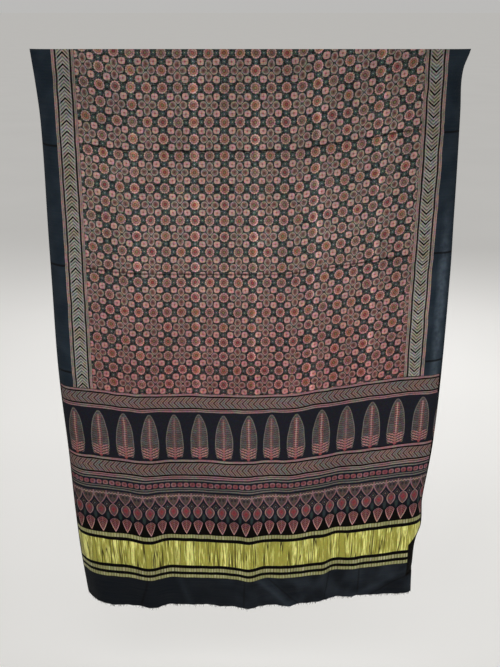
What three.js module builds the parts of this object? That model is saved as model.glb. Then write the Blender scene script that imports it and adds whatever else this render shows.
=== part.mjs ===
// Ajrakh cloth: the hanging end of a block-printed stole, one sheet held along a straight top edge.
// Millimetres, +Z up. The origin is the middle of the top edge. The width runs along X, the cloth hangs down -Z
// and its printed face looks along -Y. "across" and "down" are places on the cloth laid flat: across is measured
// from the middle, down from the top edge at the middle.

import * as THREE from 'three';

// Flat size of the hanging length, and the thickness of the sheet.
const CLOTH_WIDTH = 914;
const CLOTH_LENGTH = 1329;
const CLOTH_THICKNESS = 1.5;
const HALF_WIDTH = CLOTH_WIDTH / 2;

// Where the printed field ends and the bands of the end panel begin.
const FIELD_LENGTH = 757;

// How far each part of the width is pulled up over the top edge, so that the rows of print rise to both sides.
const PULLED_UP = [
  { across: -457, by: 19 },
  { across: -391, by: 17 },
  { across: -347, by: 13 },
  { across: -300, by: 6 },
  { across: -240, by: 0 },
  { across: 80, by: 0 },
  { across: 115, by: 4 },
  { across: 165, by: 13 },
  { across: 219, by: 21 },
  { across: 268, by: 29 },
  { across: 308, by: 37 },
  { across: 381, by: 45 },
  { across: 457, by: 46 },
];

// Share of that pull which the left side keeps lower down, where its corner has sagged back.
const LEFT_PULL_KEPT = [
  { down: 0, share: 1 },
  { down: 900, share: 1 },
  { down: 1150, share: 0.85 },
  { down: 1215, share: 0.75 },
  { down: 1329, share: 0.5 },
];

// Upright folds: where each lies, its half width, how far it stands out at its fullest, and where it starts and fills.
const FOLDS = [
  { across: -345, reach: 58, stands: 5, from: 60, full: 600 },
  { across: -256, reach: 34, stands: 15, from: 620, full: 1329 },
  { across: -200, reach: 30, stands: -7, from: 700, full: 1329 },
  { across: -135, reach: 74, stands: -6, from: 80, full: 800 },
  { across: -30, reach: 62, stands: 4, from: 60, full: 650 },
  { across: 2, reach: 24, stands: 13, from: 760, full: 1329 },
  { across: 66, reach: 44, stands: -6, from: 500, full: 1200 },
  { across: 120, reach: 60, stands: 4, from: 80, full: 500 },
  { across: 190, reach: 22, stands: 6, from: 700, full: 1329 },
  { across: 226, reach: 24, stands: -9, from: 700, full: 1329 },
  { across: 320, reach: 52, stands: 7, from: 120, full: 1200 },
];

// How the width draws in as it hangs, and how far each side edge curls back: the strip that curls and its end turn.
const SIDES = [
  { down: 0, kept: 0.99, leftStrip: 40, leftTurn: 30, rightStrip: 30, rightTurn: 12 },
  { down: 30, kept: 0.99, leftStrip: 48, leftTurn: 40, rightStrip: 36, rightTurn: 20 },
  { down: 85, kept: 0.989, leftStrip: 58, leftTurn: 50, rightStrip: 62, rightTurn: 60 },
  { down: 170, kept: 0.989, leftStrip: 66, leftTurn: 58, rightStrip: 60, rightTurn: 62 },
  { down: 400, kept: 0.985, leftStrip: 60, leftTurn: 58, rightStrip: 54, rightTurn: 50 },
  { down: 520, kept: 0.983, leftStrip: 60, leftTurn: 58, rightStrip: 48, rightTurn: 42 },
  { down: 720, kept: 0.981, leftStrip: 60, leftTurn: 60, rightStrip: 50, rightTurn: 40 },
  { down: 930, kept: 0.973, leftStrip: 68, leftTurn: 68, rightStrip: 58, rightTurn: 46 },
  { down: 1090, kept: 0.967, leftStrip: 74, leftTurn: 65, rightStrip: 72, rightTurn: 64 },
  { down: 1165, kept: 0.965, leftStrip: 80, leftTurn: 64, rightStrip: 62, rightTurn: 66 },
  { down: 1215, kept: 0.964, leftStrip: 86, leftTurn: 64, rightStrip: 54, rightTurn: 112 },
  { down: 1329, kept: 0.963, leftStrip: 98, leftTurn: 72, rightStrip: 54, rightTurn: 118 },
];

// How far the hanging cloth drifts to the left below its upper part.
const DRIFT = [
  { down: 0, by: 0 },
  { down: 250, by: 0 },
  { down: 700, by: -4.5 },
  { down: 1329, by: -4.5 },
];

// The lower right corner bends forward along a slanting crease, from a point on the hem to one near the edge.
const CORNER_CREASE = { hemAcross: 318, edgeAcross: 424, edgeDown: 1282, bendDegrees: 34 };

// Spacing of the mesh lines, closer where the cloth bends more.
const COLUMN_STEPS = [
  { upTo: -340, step: 13 },
  { upTo: -300, step: 20 },
  { upTo: -170, step: 14.5 },
  { upTo: -40, step: 32.5 },
  { upTo: 40, step: 10 },
  { upTo: 150, step: 27.5 },
  { upTo: 270, step: 13.3 },
  { upTo: 340, step: 23.3 },
  { upTo: 457, step: 10.6 },
];
const ROW_STEPS = [
  { upTo: 180, step: 30 },
  { upTo: FIELD_LENGTH, step: 52 },
  { upTo: 1090, step: 42 },
  { upTo: CLOTH_LENGTH, step: 22 },
];
const BENDING_SAMPLES = 4;

const smoothstep = (low, high, value) => THREE.MathUtils.smoothstep(value, low, high);

// Reads one column of a table on a smooth curve through its rows.
function readTable(rows, key, at, column) {
  const last = rows.length - 1;
  if (at <= rows[0][key]) return rows[0][column];
  if (at >= rows[last][key]) return rows[last][column];
  const next = rows.findIndex((row) => row[key] > at);
  const slopeAt = (index) => {
    const before = rows[Math.max(index - 1, 0)];
    const after = rows[Math.min(index + 1, last)];
    return (after[column] - before[column]) / (after[key] - before[key]);
  };
  const start = rows[next - 1];
  const end = rows[next];
  const span = end[key] - start[key];
  const t = (at - start[key]) / span;
  const bend = t * t * (3 - 2 * t);
  const startSlope = slopeAt(next - 1) * span * t * (1 - t) * (1 - t);
  const endSlope = slopeAt(next) * span * t * t * (1 - t);
  return start[column] + (end[column] - start[column]) * bend + startSlope - endSlope;
}

// Divides a range into steps of about the sizes that a table asks for.
function spacedLines(start, steps) {
  const lines = [start];
  for (const { upTo, step } of steps) {
    const from = lines[lines.length - 1];
    const count = Math.round((upTo - from) / step);
    for (let index = 1; index <= count; index += 1) {
      lines.push(from + ((upTo - from) * index) / count);
    }
  }
  return lines;
}

// How far up the cloth is pulled at a place.
function pullAt(across, down) {
  const pull = readTable(PULLED_UP, 'across', across, 'by');
  return across < 0 ? pull * readTable(LEFT_PULL_KEPT, 'down', down, 'share') : pull;
}

// The flat distance down the cloth of a mesh row: straight along the top edge, along the print below the field.
function downAt(row, across) {
  if (row >= FIELD_LENGTH) return row;
  return row + pullAt(across, 0) * (1 - row / FIELD_LENGTH);
}

// How far one fold stands out at a distance down the cloth.
function foldHeight(fold, down) {
  return fold.stands * smoothstep(fold.from, fold.full, down);
}

// How far all folds together stand out at a place.
function foldsStandOut(across, down) {
  let out = 0;
  for (const fold of FOLDS) {
    const off = (across - fold.across) / fold.reach;
    out += foldHeight(fold, down) * Math.exp(-off * off);
  }
  return out;
}

// Which way the cloth runs at a place, seen from above: 0 is straight across, more leads forward and less leads back.
function turnAt(across, down) {
  let slope = 0;
  for (const fold of FOLDS) {
    const off = (across - fold.across) / fold.reach;
    slope -= (2 * foldHeight(fold, down) * off * Math.exp(-off * off)) / fold.reach;
  }
  const side = across < 0 ? 'left' : 'right';
  const strip = readTable(SIDES, 'down', down, `${side}Strip`);
  const endTurn = THREE.MathUtils.degToRad(readTable(SIDES, 'down', down, `${side}Turn`));
  const along = Math.max((Math.abs(across) - (HALF_WIDTH - strip)) / strip, 0);
  return Math.atan(slope) - Math.sign(across) * endTurn * along;
}

// Plan of one mesh row, kept to the cloth's own width: sideways and forward places for each column.
function planOfRow(row, columns) {
  const plan = [{ side: 0, forward: 0 }];
  for (let index = 1; index < columns.length; index += 1) {
    const from = columns[index - 1];
    const step = (columns[index] - from) / BENDING_SAMPLES;
    let { side, forward } = plan[index - 1];
    for (let sample = 0; sample < BENDING_SAMPLES; sample += 1) {
      const across = from + (sample + 0.5) * step;
      const down = downAt(row, across);
      const turn = turnAt(across, down);
      side += Math.cos(turn) * step * readTable(SIDES, 'down', down, 'kept');
      forward += Math.sin(turn) * step;
    }
    plan.push({ side, forward });
  }
  const middle = columns.findIndex((across) => Math.abs(across) < 1e-6);
  const sideMiddle = plan[middle].side - readTable(DRIFT, 'down', row, 'by');
  const forwardMiddle = plan[middle].forward - foldsStandOut(0, row) + foldsStandOut(0, 0);
  return plan.map(({ side, forward }) => ({ side: side - sideMiddle, forward: forward - forwardMiddle }));
}

// The bend of the corner beyond its crease: how a place moves sideways, forward and up.
function cornerBend(across, down) {
  const run = CORNER_CREASE.edgeAcross - CORNER_CREASE.hemAcross;
  const drop = CLOTH_LENGTH - CORNER_CREASE.edgeDown;
  const long = Math.hypot(run, drop);
  const beyond = ((across - CORNER_CREASE.hemAcross) * drop + (down - CLOTH_LENGTH) * run) / long;
  if (beyond <= 0) return { side: 0, forward: 0, up: 0 };
  const bend = THREE.MathUtils.degToRad(CORNER_CREASE.bendDegrees);
  const shorter = beyond * (1 - Math.cos(bend));
  return { side: (-shorter * drop) / long, forward: beyond * Math.sin(bend), up: (shorter * run) / long };
}

// The front and back points of the sheet, row by row.
function sheetPoints(rows, columns) {
  const front = [];
  const back = [];
  for (const row of rows) {
    const plan = planOfRow(row, columns);
    columns.forEach((across, index) => {
      const down = downAt(row, across);
      const bend = cornerBend(across, down);
      const turn = turnAt(across, down);
      const point = new THREE.Vector3(
        plan[index].side + bend.side,
        -(plan[index].forward + bend.forward),
        pullAt(across, down) - down + bend.up,
      );
      const outward = new THREE.Vector3(-Math.sin(turn), -Math.cos(turn), 0);
      front.push(point.clone().addScaledVector(outward, CLOTH_THICKNESS / 2));
      back.push(point.clone().addScaledVector(outward, -CLOTH_THICKNESS / 2));
    });
  }
  return { front, back };
}

// One closed sheet: its printed face, its back and the four thin edges.
function sheetGeometry(rows, columns) {
  const { front, back } = sheetPoints(rows, columns);
  const wide = columns.length;
  const layer = front.length;
  const faces = [];
  const quad = (a, b, c, d) => faces.push(a, b, c, a, c, d);
  for (let row = 0; row < rows.length - 1; row += 1) {
    for (let column = 0; column < wide - 1; column += 1) {
      const corner = row * wide + column;
      quad(corner, corner + wide, corner + wide + 1, corner + 1);
      quad(layer + corner, layer + corner + 1, layer + corner + wide + 1, layer + corner + wide);
    }
    const left = row * wide;
    const right = left + wide - 1;
    quad(left, layer + left, layer + left + wide, left + wide);
    quad(right, right + wide, layer + right + wide, layer + right);
  }
  const hem = layer - wide;
  for (let column = 0; column < wide - 1; column += 1) {
    quad(column, column + 1, layer + column + 1, layer + column);
    quad(hem + column, layer + hem + column, layer + hem + column + 1, hem + column + 1);
  }
  const geometry = new THREE.BufferGeometry();
  geometry.setFromPoints([...front, ...back]);
  geometry.setIndex(faces);
  geometry.computeVertexNormals();
  return geometry;
}

function makeCloth() {
  const columns = spacedLines(-HALF_WIDTH, COLUMN_STEPS);
  const rows = spacedLines(0, ROW_STEPS);
  const printedCloth = new THREE.MeshStandardMaterial({ color: 0x5a4545, roughness: 0.8, metalness: 0 });
  const cloth = new THREE.Mesh(sheetGeometry(rows, columns), printedCloth);
  cloth.name = 'ajrakh_cloth';
  return cloth;
}

const hanging = new THREE.Group();
hanging.add(makeCloth());

export default hanging;
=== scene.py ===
"""Ajrakh cloth: the hanging end of a block-printed stole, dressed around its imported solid.

The scene is in metres, +Z up, in the part's own frame: the origin is the middle of the top edge, the cloth
hangs down -Z and its printed face looks along -Y. Places on the cloth laid flat are in millimetres, as a
printer would measure them: "across" from the middle, and "down" from the top edge at the middle.
"""

from __future__ import annotations

import logging
import math
from dataclasses import dataclass
from enum import Enum, IntEnum
from typing import Any, Callable, Union

import bpy
import numpy as np
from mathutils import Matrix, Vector


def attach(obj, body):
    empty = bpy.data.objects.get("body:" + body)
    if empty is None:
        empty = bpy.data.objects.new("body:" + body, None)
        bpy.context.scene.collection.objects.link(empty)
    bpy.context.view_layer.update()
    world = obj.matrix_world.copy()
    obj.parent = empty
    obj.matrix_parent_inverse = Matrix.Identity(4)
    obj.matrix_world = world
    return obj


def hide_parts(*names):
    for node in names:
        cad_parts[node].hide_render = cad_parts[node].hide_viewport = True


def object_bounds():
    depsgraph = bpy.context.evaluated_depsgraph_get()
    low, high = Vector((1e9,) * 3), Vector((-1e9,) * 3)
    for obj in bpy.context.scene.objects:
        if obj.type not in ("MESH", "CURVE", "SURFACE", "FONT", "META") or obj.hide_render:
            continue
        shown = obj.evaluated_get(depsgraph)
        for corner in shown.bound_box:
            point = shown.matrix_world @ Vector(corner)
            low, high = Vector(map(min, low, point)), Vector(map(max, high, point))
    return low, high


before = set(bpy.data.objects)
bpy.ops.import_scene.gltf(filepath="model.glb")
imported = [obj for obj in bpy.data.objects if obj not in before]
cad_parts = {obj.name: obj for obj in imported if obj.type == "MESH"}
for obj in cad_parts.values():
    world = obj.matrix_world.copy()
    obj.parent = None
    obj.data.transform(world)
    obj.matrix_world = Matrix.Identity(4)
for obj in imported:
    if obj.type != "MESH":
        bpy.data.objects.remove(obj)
cad_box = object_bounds()

log = logging.getLogger("ajrakh_cloth")

MM = 0.001
FLAT_PLACE = "flat"
FAR = 99.0
SELVEDGE = 450.0


class Dye(Enum):
    """Colours of the printed and woven threads, as 8-bit sRGB."""

    GROUND = (24, 22, 21)
    INDIGO = (20, 29, 37)
    END_INDIGO = (14, 18, 23)
    BAND_INDIGO = (23, 23, 29)
    END_PALE = (86, 97, 108)
    BLACK = (8, 6, 5)
    TEAL = (50, 62, 61)
    EYE_TEAL = (66, 86, 84)
    SPECK = (126, 128, 122)
    RUST = (120, 76, 52)
    GREY_GREEN = (110, 104, 96)
    BORDER_GREY = (128, 123, 119)
    PALE_LINE = (168, 162, 150)
    DARK_LINE = (32, 28, 28)
    BAND_PINK = (99, 74, 74)
    BAND_GREY = (89, 81, 79)
    LEAF_GREEN = (77, 75, 74)
    LEAF_BROWN = (70, 60, 60)
    LEAF_DARK = (40, 34, 34)
    CREAM = (176, 150, 138)
    PINK = (162, 124, 118)
    DUSTY_PINK = (136, 111, 106)
    LINE_PINK = (116, 86, 89)
    UMBER = (80, 66, 60)
    MADDER = (100, 64, 60)
    RED = (112, 56, 57)
    FROND = (120, 72, 73)
    BLOCK_RED = (98, 54, 57)
    HEART_RED = (106, 48, 52)
    LEAF_RED = (82, 58, 58)
    DARK_RED = (54, 32, 31)
    OLIVE = (98, 90, 66)
    GOLD = (158, 154, 70)
    # colour of the painted highlights on the gold
    GOLD_LIGHT = (232, 230, 140)
    GOLD_SHADE = (124, 119, 53)
    GOLD_DARK = (66, 60, 24)
    NARROW_GOLD = (142, 142, 103)
    BACK = (40, 36, 38)
    PALE_THREAD = (200, 194, 184)
    FLOOR = (253, 252, 250)

    def linear(self) -> tuple[float, ...]:
        """Gives the colour as linear light.

        Returns:
            Red, green, blue and full cover.
        """
        shares = [part / 255.0 for part in self.value]
        light = [part / 12.92 if part <= 0.04045 else ((part + 0.055) / 1.055) ** 2.4 for part in shares]
        return (*light, 1.0)


class Zone(IntEnum):
    """Parts of the cloth with a finish each: the field and its sides, then those below it in order."""

    FIELD = 0
    SIDE_BORDER = 1
    PLAIN_SIDE = 2
    UPPER_CHEVRONS = 3
    TREES = 4
    LOWER_CHEVRONS = 5
    DOTS = 6
    PENDANTS = 7
    GOLD = 8
    PLAIN_END = 9


@dataclass(frozen=True)
class Layout:
    """Where each zone lies on the cloth laid flat, in millimetres."""

    half_width: float = 457.0
    length: float = 1329.0
    field_half_width: float = 361.0
    border_outside: float = 408.5
    field_end: float = 757.0
    trees_start: float = 804.0
    trees_end: float = 925.0
    dots_start: float = 977.0
    pendants_start: float = 1016.0
    gold_start: float = 1128.0
    gold_end: float = 1249.5

    def row_borders(self) -> list[float]:
        """Lists the distances down at which one zone meets the next."""
        upper = [0.0, self.field_end, self.trees_start, self.trees_end, self.dots_start]
        return upper + [self.pendants_start, self.gold_start, self.gold_end, self.length]

    def column_borders(self) -> list[float]:
        """Lists the distances across at which one zone meets the next."""
        right = [self.field_half_width, self.border_outside, self.half_width]
        return [-place for place in reversed(right)] + [0.0] + right

    def zone_at(self, across: np.ndarray, row: np.ndarray) -> np.ndarray:
        """Tells which zone each place belongs to.

        Args:
            across: Distances across from the middle.
            row: Distances down of the mesh rows, of the same shape.

        Returns:
            The numbers of the zones.
        """
        band = np.searchsorted(self.row_borders()[1:-1], row, side="right")
        out = np.abs(across)
        beside = np.where(out > self.border_outside, Zone.PLAIN_SIDE, Zone.SIDE_BORDER)
        in_field = np.where(out > self.field_half_width, beside, Zone.FIELD)
        return np.where(band == 0, in_field, Zone.PLAIN_SIDE + band)


@dataclass(frozen=True)
class SmoothTable:
    """A short table that is read on a smooth curve through its rows."""

    places: tuple[float, ...]
    values: tuple[float, ...]

    def read(self, at: np.ndarray) -> np.ndarray:
        """Reads the curve.

        Args:
            at: Where to read it.

        Returns:
            The values there, with the end rows' values beyond the ends.
        """
        keys, values = np.array(self.places), np.array(self.values)
        before = np.maximum(np.arange(len(keys)) - 1, 0)
        after = np.minimum(np.arange(len(keys)) + 1, len(keys) - 1)
        slopes = (values[after] - values[before]) / (keys[after] - keys[before])
        held = np.clip(at, keys[0], keys[-1])
        end = np.clip(np.searchsorted(keys, held, side="right"), 1, len(keys) - 1)
        start = end - 1
        span = keys[end] - keys[start]
        t = (held - keys[start]) / span
        bend = t * t * (3.0 - 2.0 * t)
        lead_in = slopes[start] * span * t * (1.0 - t) ** 2
        lead_out = slopes[end] * span * t * t * (1.0 - t)
        return values[start] + (values[end] - values[start]) * bend + lead_in - lead_out


def smooth_rise(low: float, high: float, at: np.ndarray) -> np.ndarray:
    """Rises smoothly from 0 at one place to 1 at another."""
    t = np.clip((at - low) / (high - low), 0.0, 1.0)
    return t * t * (3.0 - 2.0 * t)


def bell(off: np.ndarray) -> np.ndarray:
    """Gives 1 in the middle of a fold, and falls away softly to both sides."""
    return np.exp(-off * off)


def waves(at: np.ndarray, table: tuple[tuple[float, float, float], ...]) -> np.ndarray:
    """Adds up waves, each given by its height, its length and where it begins."""
    return sum(height * np.sin(at / length + begins) for height, length, begins in table)


@dataclass(frozen=True)
class Fold:
    """One upright fold: its place across, half width, height, and where it starts and is full."""

    across: float
    reach: float
    stands: float
    start: float
    full: float


@dataclass(frozen=True)
class Crease:
    """A mark of the cloth's packing: its place, its height, below 0 in a valley, and its half width."""

    place: float
    height: float
    reach: float


@dataclass(frozen=True)
class Ripple:
    """A shallow unevenness: its lengths across and down, its height and where it begins."""

    across: float
    down: float
    height: float
    shift: float


@dataclass(frozen=True)
class Slant:
    """A soft fold of the plain end: its places below the gold and at the hem, its height and half width."""

    across: float
    hem_across: float
    height: float
    reach: float


@dataclass(frozen=True)
class Drape:
    """The way in which the sheet hangs, in millimetres and degrees."""

    layout: Layout = Layout()
    thickness: float = 1.0
    pulled_up: SmoothTable = SmoothTable(
        (-457, -391, -347, -300, -240, 80, 115, 165, 219, 268, 308, 381, 457),
        (19, 17, 13, 6, 0, 0, 4, 13, 21, 29, 37, 45, 46),
    )
    left_pull_kept: SmoothTable = SmoothTable((0, 900, 1150, 1215, 1329), (1, 1, 0.85, 0.75, 0.5))
    drift: SmoothTable = SmoothTable((0, 250, 700, 1329), (0, 0, -4.5, -4.5))
    side_rows: tuple[float, ...] = (0, 30, 85, 170, 400, 520, 720, 930, 1090, 1165, 1215, 1329)
    width_kept: tuple[float, ...] = (
        0.99, 0.99, 0.989, 0.989, 0.985, 0.983, 0.981, 0.973, 0.967, 0.965, 0.964, 0.963,
    )
    left_strip: tuple[float, ...] = (40, 48, 58, 66, 60, 60, 60, 68, 74, 80, 86, 98)
    left_turn: tuple[float, ...] = (30, 40, 50, 58, 58, 58, 60, 68, 65, 64, 64, 72)
    right_strip: tuple[float, ...] = (30, 36, 62, 60, 54, 48, 50, 58, 72, 62, 54, 54)
    right_turn: tuple[float, ...] = (12, 20, 60, 62, 50, 42, 40, 46, 64, 66, 112, 118)
    folds: tuple[Fold, ...] = (
        Fold(-345, 58, 5, 60, 600),
        Fold(-256, 34, 15, 620, 1329),
        Fold(-200, 30, -7, 700, 1329),
        Fold(-135, 74, -6, 80, 800),
        Fold(-30, 62, 4, 60, 650),
        Fold(2, 24, 13, 760, 1329),
        Fold(66, 44, -6, 500, 1200),
        Fold(120, 60, 4, 80, 500),
        Fold(190, 22, 6, 700, 1329),
        Fold(226, 24, -9, 700, 1329),
        Fold(320, 52, 7, 120, 1200),
    )
    corner_hem_across: float = 318.0
    corner_edge_across: float = 424.0
    corner_edge_down: float = 1282.0
    corner_bend: float = 34.0
    corner_valley: float = 3.2
    corner_soft: float = 6.0
    corner_fold_back: float = 46.0
    cross_creases: tuple[Crease, ...] = (
        Crease(199, -2.4, 5.5),
        Crease(209, 1.2, 8.0),
        Crease(469, -2.6, 5.5),
        Crease(480, 1.3, 8.0),
        Crease(712, -1.8, 5.5),
        Crease(722, 1.0, 8.0),
    )
    upright_creases: tuple[Crease, ...] = (
        Crease(-246, 1.1, 6.5),
        Crease(-109, -1.2, 6.5),
        Crease(11, 1.2, 6.5),
        Crease(148, -1.2, 6.5),
        Crease(273, 1.1, 6.5),
    )
    slants: tuple[Slant, ...] = (
        Slant(24, 112, 4.0, 13.0),
        Slant(52, 136, -3.0, 9.0),
        Slant(-10, -12, -2.2, 6.0),
        Slant(214, 200, -3.2, 6.0),
        Slant(290, 287, -1.6, 6.0),
        Slant(-262, -285, -2.4, 9.0),
        Slant(-178, -150, 2.0, 12.0),
    )
    ripples: tuple[Ripple, ...] = (
        Ripple(173, 410, 0.55, 0.4),
        Ripple(-97, 260, 0.4, 2.1),
        Ripple(61, -330, 0.28, 4.0),
        Ripple(-41, 140, 0.18, 1.3),
        Ripple(233, -88, 0.3, 5.2),
        Ripple(29, 75, 0.1, 0.7),
    )
    crease_bow: tuple[tuple[float, float, float], ...] = ((5.0, 140.0, 0.0), (1.5, 31.0, 0.0))
    crease_depth: tuple[tuple[float, float, float], ...] = ((0.25, 57.0, 0.0),)
    crease_lean: tuple[tuple[float, float, float], ...] = ((2.0, 90.0, 0.0),)
    upright_fading: tuple[float, float] = (300.0, 900.0)
    end_folds_rise: tuple[float, float] = (-0.25, 0.35)
    flat_edge: tuple[float, float] = (428.0, 452.0)
    flat_top: tuple[float, float] = (-4.0, 22.0)
    ragged: float = 9.0
    ragged_height: float = 1.1
    ragged_waves: tuple[tuple[float, float, float], ...] = (
        (0.8, 9.0, 0.0),
        (0.6, 23.0, 1.0),
        (0.5, 3.7, 0.0),
    )

    def pull(self, across: np.ndarray, down: np.ndarray) -> np.ndarray:
        """Tells how far up the cloth is pulled at places across and down, in millimetres."""
        pulled = self.pulled_up.read(across)
        return np.where(across < 0.0, pulled * self.left_pull_kept.read(down), pulled)

    def down_of_row(self, row: np.ndarray, across: np.ndarray) -> np.ndarray:
        """Gives the flat distances down of mesh rows, of which the first is straight along the top edge."""
        left_in_field = np.clip(1.0 - row / self.layout.field_end, 0.0, 1.0)
        return row + self.pull(across, np.zeros_like(row)) * left_in_field

    def stand_out(self, across: np.ndarray, down: np.ndarray) -> np.ndarray:
        """Adds up how far the folds stand out.

        Args:
            across: Distances across.
            down: Distances down.

        Returns:
            The heights, in millimetres.
        """
        out = np.zeros(np.broadcast(across, down).shape)
        for fold in self.folds:
            off = (across - fold.across) / fold.reach
            out = out + fold.stands * smooth_rise(fold.start, fold.full, down) * bell(off)
        return out

    def turn(self, across: np.ndarray, down: np.ndarray) -> np.ndarray:
        """Tells which way the cloth runs, seen from above.

        Args:
            across: Distances across.
            down: Distances down.

        Returns:
            Angles in radians: 0 is straight across, more leads forward and less leads back.
        """
        slope = np.zeros_like(across)
        for fold in self.folds:
            off = (across - fold.across) / fold.reach
            height = fold.stands * smooth_rise(fold.start, fold.full, down)
            slope = slope - 2.0 * height * off * bell(off) / fold.reach
        left = across < 0.0
        strip = np.where(left, self.side(self.left_strip, down), self.side(self.right_strip, down))
        end_turn = np.where(left, self.side(self.left_turn, down), self.side(self.right_turn, down))
        along = np.maximum((np.abs(across) - (self.layout.half_width - strip)) / strip, 0.0)
        return np.arctan(slope) - np.sign(across) * np.radians(end_turn) * along

    def side(self, column: tuple[float, ...], down: np.ndarray) -> np.ndarray:
        """Reads one column of the table of the sides."""
        return SmoothTable(self.side_rows, column).read(down)

    def relief(self, across: np.ndarray, down: np.ndarray) -> np.ndarray:
        """Adds up the packing creases, the soft folds of the end and the shallow unevenness.

        Args:
            across: Distances across.
            down: Distances down.

        Returns:
            How far the face stands out, in millimetres.
        """
        out = self.end_folds(across, down) - self.corner_valley * self.corner_crease(across, down)
        bow, depth = waves(across, self.crease_bow), 0.75 + waves(across, self.crease_depth)
        for crease in self.cross_creases:
            out = out + crease.height * bell((down - crease.place - bow) / crease.reach) * depth
        lean, fading = waves(down, self.crease_lean), 1.0 - 0.7 * smooth_rise(*self.upright_fading, down)
        for crease in self.upright_creases:
            out = out + crease.height * fading * bell((across - crease.place - lean) / crease.reach)
        for ripple in self.ripples:
            angle = 2.0 * math.pi * (across / ripple.across + down / ripple.down) + ripple.shift
            out = out + ripple.height * np.sin(angle)
        inside = 1.0 - smooth_rise(*self.flat_edge, np.abs(across))
        return out * inside * smooth_rise(*self.flat_top, down - self.pull(across, np.zeros_like(down)))

    def end_folds(self, across: np.ndarray, down: np.ndarray) -> np.ndarray:
        """Adds up the soft folds of the plain end.

        Args:
            across: Distances across.
            down: Distances down.

        Returns:
            The heights, in millimetres.
        """
        below = (down - self.layout.gold_end) / (self.layout.length - self.layout.gold_end)
        out = np.zeros_like(across)
        for slant in self.slants:
            off = (across - slant.across - (slant.hem_across - slant.across) * below) / slant.reach
            out = out + slant.height * bell(off)
        return out * smooth_rise(*self.end_folds_rise, below)

    def corner_course(self) -> np.ndarray:
        """Gives the direction along the crease of the lower right corner.

        Returns:
            Its shares across and up.
        """
        run = self.corner_edge_across - self.corner_hem_across
        rise = self.layout.length - self.corner_edge_down
        return np.array([run, rise]) / math.hypot(run, rise)

    def past_corner(self, across: np.ndarray, down: np.ndarray) -> np.ndarray:
        """Measures how far a place lies beyond the crease of the lower right corner, in millimetres."""
        run, rise = self.corner_course()
        return (across - self.corner_hem_across) * rise + (down - self.layout.length) * run

    def corner_shading_lines(self) -> tuple[Slant, Slant]:
        """Gives two lines of painted shading on the plain end that run along the crease of the lower right
        corner.

        Returns:
            The painted highlight of the fold above the crease, and the painted shade of the crease.
        """
        run, rise = self.corner_course()
        foot = self.corner_hem_across
        start = foot + run / rise * (self.layout.length - self.layout.gold_end)
        back = self.corner_fold_back
        return Slant(start - back, foot - back, 3.0, 24.0), Slant(start, foot, -1.0, 13.0)

    def corner_crease(self, across: np.ndarray, down: np.ndarray) -> np.ndarray:
        """Gives 1 along the crease of the lower right corner, and 0 away from it."""
        along = smooth_rise(self.corner_hem_across - 10.0, self.corner_hem_across + 25.0, across)
        return bell(self.past_corner(across, down) / self.corner_soft) * along

    def corner(self, across: np.ndarray, down: np.ndarray) -> tuple[np.ndarray, np.ndarray, np.ndarray]:
        """Bends the lower right corner forward beyond its crease.

        Args:
            across: Distances across.
            down: Distances down.

        Returns:
            The moves sideways, forward and up, in millimetres.
        """
        run, rise = self.corner_course()
        beyond = np.maximum(self.past_corner(across, down), 0.0)
        bend = math.radians(self.corner_bend)
        shorter = beyond * (1.0 - math.cos(bend))
        return -shorter * rise, beyond * math.sin(bend), shorter * run

    def hang(self, rows: np.ndarray, columns: np.ndarray) -> tuple[np.ndarray, np.ndarray, np.ndarray]:
        """Hangs the sheet.

        Args:
            rows: Distances down of the mesh rows at the middle.
            columns: Distances across of the mesh columns.

        Returns:
            The points half way through the sheet, the outward directions, both in metres and of shape
            (rows, columns, 3), and the flat places in millimetres of shape (rows, columns, 2).
        """
        across_between, row_between = np.meshgrid((columns[1:] + columns[:-1]) / 2.0, rows)
        step = np.diff(columns)
        down_between = self.down_of_row(row_between, across_between)
        turn_between = self.turn(across_between, down_between)
        kept = self.side(self.width_kept, down_between)
        start = np.zeros((len(rows), 1))
        sideways = np.hstack([start, np.cumsum(np.cos(turn_between) * step * kept, axis=1)])
        forward = np.hstack([start, np.cumsum(np.sin(turn_between) * step, axis=1)])
        middle = int(np.argmin(np.abs(columns)))
        nothing = np.zeros_like(rows)
        rise = self.stand_out(nothing, rows) - self.stand_out(nothing, nothing)
        sideways = sideways - sideways[:, middle : middle + 1] + self.drift.read(rows)[:, None]
        forward = forward - forward[:, middle : middle + 1] + rise[:, None]

        across, row = np.meshgrid(columns, rows)
        down = self.down_of_row(row, across)
        turn = self.turn(across, down)
        bend_side, bend_forward, bend_up = self.corner(across, down)
        outward = np.stack([-np.sin(turn), -np.cos(turn), np.zeros_like(turn)], axis=-1)
        up = self.pull(across, down) - down + bend_up
        points = np.stack([sideways + bend_side, -(forward + bend_forward), up], axis=-1)
        points = points + outward * self.relief(across, down)[..., None]
        raw_edge = smooth_rise(self.layout.length - self.ragged, self.layout.length, down)
        points[..., 2] += (self.ragged_height + waves(across, self.ragged_waves)) * raw_edge
        return points * MM, outward, np.stack([across, down], axis=-1)

    def flat_area(self) -> float:
        """Works out the flat area of the cut, whose top follows the pull.

        Returns:
            The area in square metres.
        """
        across = np.linspace(-self.layout.half_width, self.layout.half_width, 400)
        left = self.layout.length - self.pull(across, np.zeros_like(across))
        return float(np.mean(left)) * 2.0 * self.layout.half_width * MM * MM


Number = Union[float, "Ink"]
Colour = Union[Dye, tuple[float, ...], "Ink"]
Sockets = dict[Union[str, int], Any]


def arithmetic(operation: str, reflected: bool = False) -> Callable[[Ink, Number], Ink]:
    """Makes an operator of Ink, which adds a Math node.

    Args:
        operation: What the node works out.
        reflected: Whether the ink comes second.

    Returns:
        The operator.
    """

    def work(ink: Ink, other: Number) -> Ink:
        """Adds the node."""
        return ink.vat.maths(operation, *((other, ink) if reflected else (ink, other)))

    return work


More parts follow.
